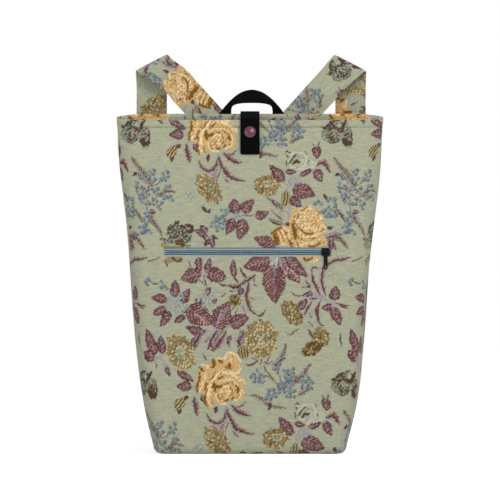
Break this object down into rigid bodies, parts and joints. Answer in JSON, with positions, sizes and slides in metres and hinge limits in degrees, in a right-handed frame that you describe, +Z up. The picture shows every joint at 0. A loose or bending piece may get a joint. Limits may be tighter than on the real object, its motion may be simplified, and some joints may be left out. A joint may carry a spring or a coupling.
{
  "type": "tapestry backpack",
  "caption": "Tote-shaped floral tapestry backpack with a boxed base, webbing snap closure, zipped front pocket, carry handle and shoulder straps.",
  "frame": {"origin": "centre of the flat base, on the surface it stands on", "axes": "+Z up, the front with the zip faces -Y, +X to the right seen from the front"},
  "size_m": [0.3508, 0.1251, 0.5206],
  "materials": {
    "tapestry": "jacquard-woven floral tapestry, sage ground, matt",
    "lining": "plain woven cotton, matt",
    "webbing": "ribbed black webbing",
    "zip_tape": "grey-blue woven zip tape",
    "zip_coil": "grey-blue nylon coil",
    "zip_metal": "black enamel, satin",
    "snap_plum": "plum enamel, soft gloss",
    "snap_steel": "plain steel"
  },
  "bodies": {
    "bag": {"front_panel": "tapestry", "back_panel": "tapestry", "mouth_facing": "tapestry", "lining": "lining", "zip_tape_upper": "zip_tape", "zip_tape_lower": "zip_tape", "zip_coil_upper": "zip_coil", "zip_coil_lower": "zip_coil", "pocket_pouch": "lining", "closure_strap": "webbing", "snap_cap": "snap_plum", "snap_socket": "snap_steel", "snap_stud": "snap_steel", "snap_post": "snap_steel", "carry_handle": "webbing", "shoulder_strap_left": "tapestry", "shoulder_strap_right": "tapestry"},
    "zip_slider": {"zip_slider": "zip_metal"},
    "zip_pull": {"zip_pull": "zip_metal"}
  },
  "joints": [
    {"name": "zip_slide", "type": "slide", "parent": "bag", "child": "zip_slider", "axis": [-1, 0, 0], "range_m": [0, 0.202]},
    {"name": "pull_swing", "type": "hinge", "parent": "zip_slider", "child": "zip_pull", "pos_m": [0.098, -0.01997, 0.26062], "axis": [-1, 0, 0], "range_deg": [0, 165]}
  ]
}
